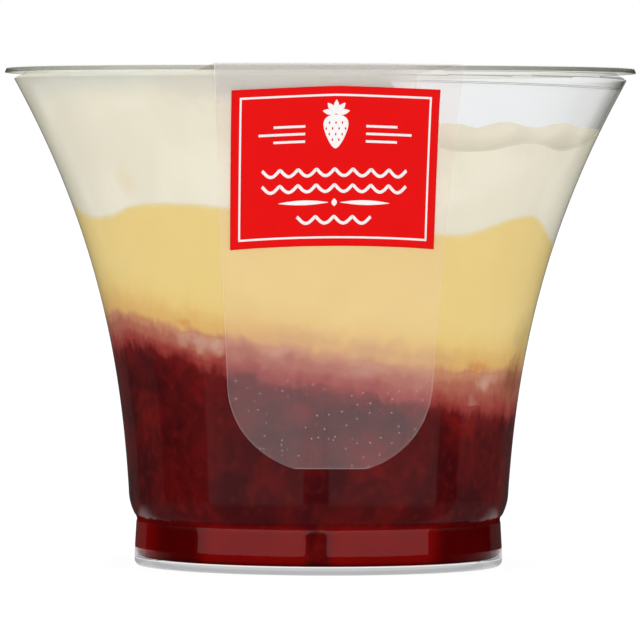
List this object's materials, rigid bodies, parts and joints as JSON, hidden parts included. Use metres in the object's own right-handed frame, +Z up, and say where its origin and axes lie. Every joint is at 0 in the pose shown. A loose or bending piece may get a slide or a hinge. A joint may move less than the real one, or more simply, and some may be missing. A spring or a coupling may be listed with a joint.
{
  "type": "layered trifle in a sealed clear pot",
  "caption": "Fruit compote, soaked sponge, custard and whipped cream in layers in a clear flared pot, sealed with a clear film and a clear label strip.",
  "frame": {"origin": "centre of the base, on the surface that the pot stands on", "axes": "+Z up along the pot's axis, -Y towards the front with the printed panel, +X to the right of the front"},
  "size_m": [0.095, 0.0958, 0.0753],
  "materials": {
    "clear_plastic": "clear glossy moulded plastic",
    "compote": "dark glossy fruit compote with brighter soft pieces",
    "sponge": "sponge soaked with fruit juice, pink to brown",
    "custard": "smooth set custard",
    "cream": "soft whipped cream",
    "clear_film": "clear glossy lidding film",
    "label_film": "clear, slightly milky label film",
    "label_print": "opaque red print with white lines"
  },
  "bodies": {
    "root": {"cup": "clear_plastic", "compote": "compote", "sponge": "sponge", "custard": "custard", "cream": "cream", "lid_film": "clear_film", "label_strip": "label_film", "label_panel": "label_print"}
  },
  "joints": []
}
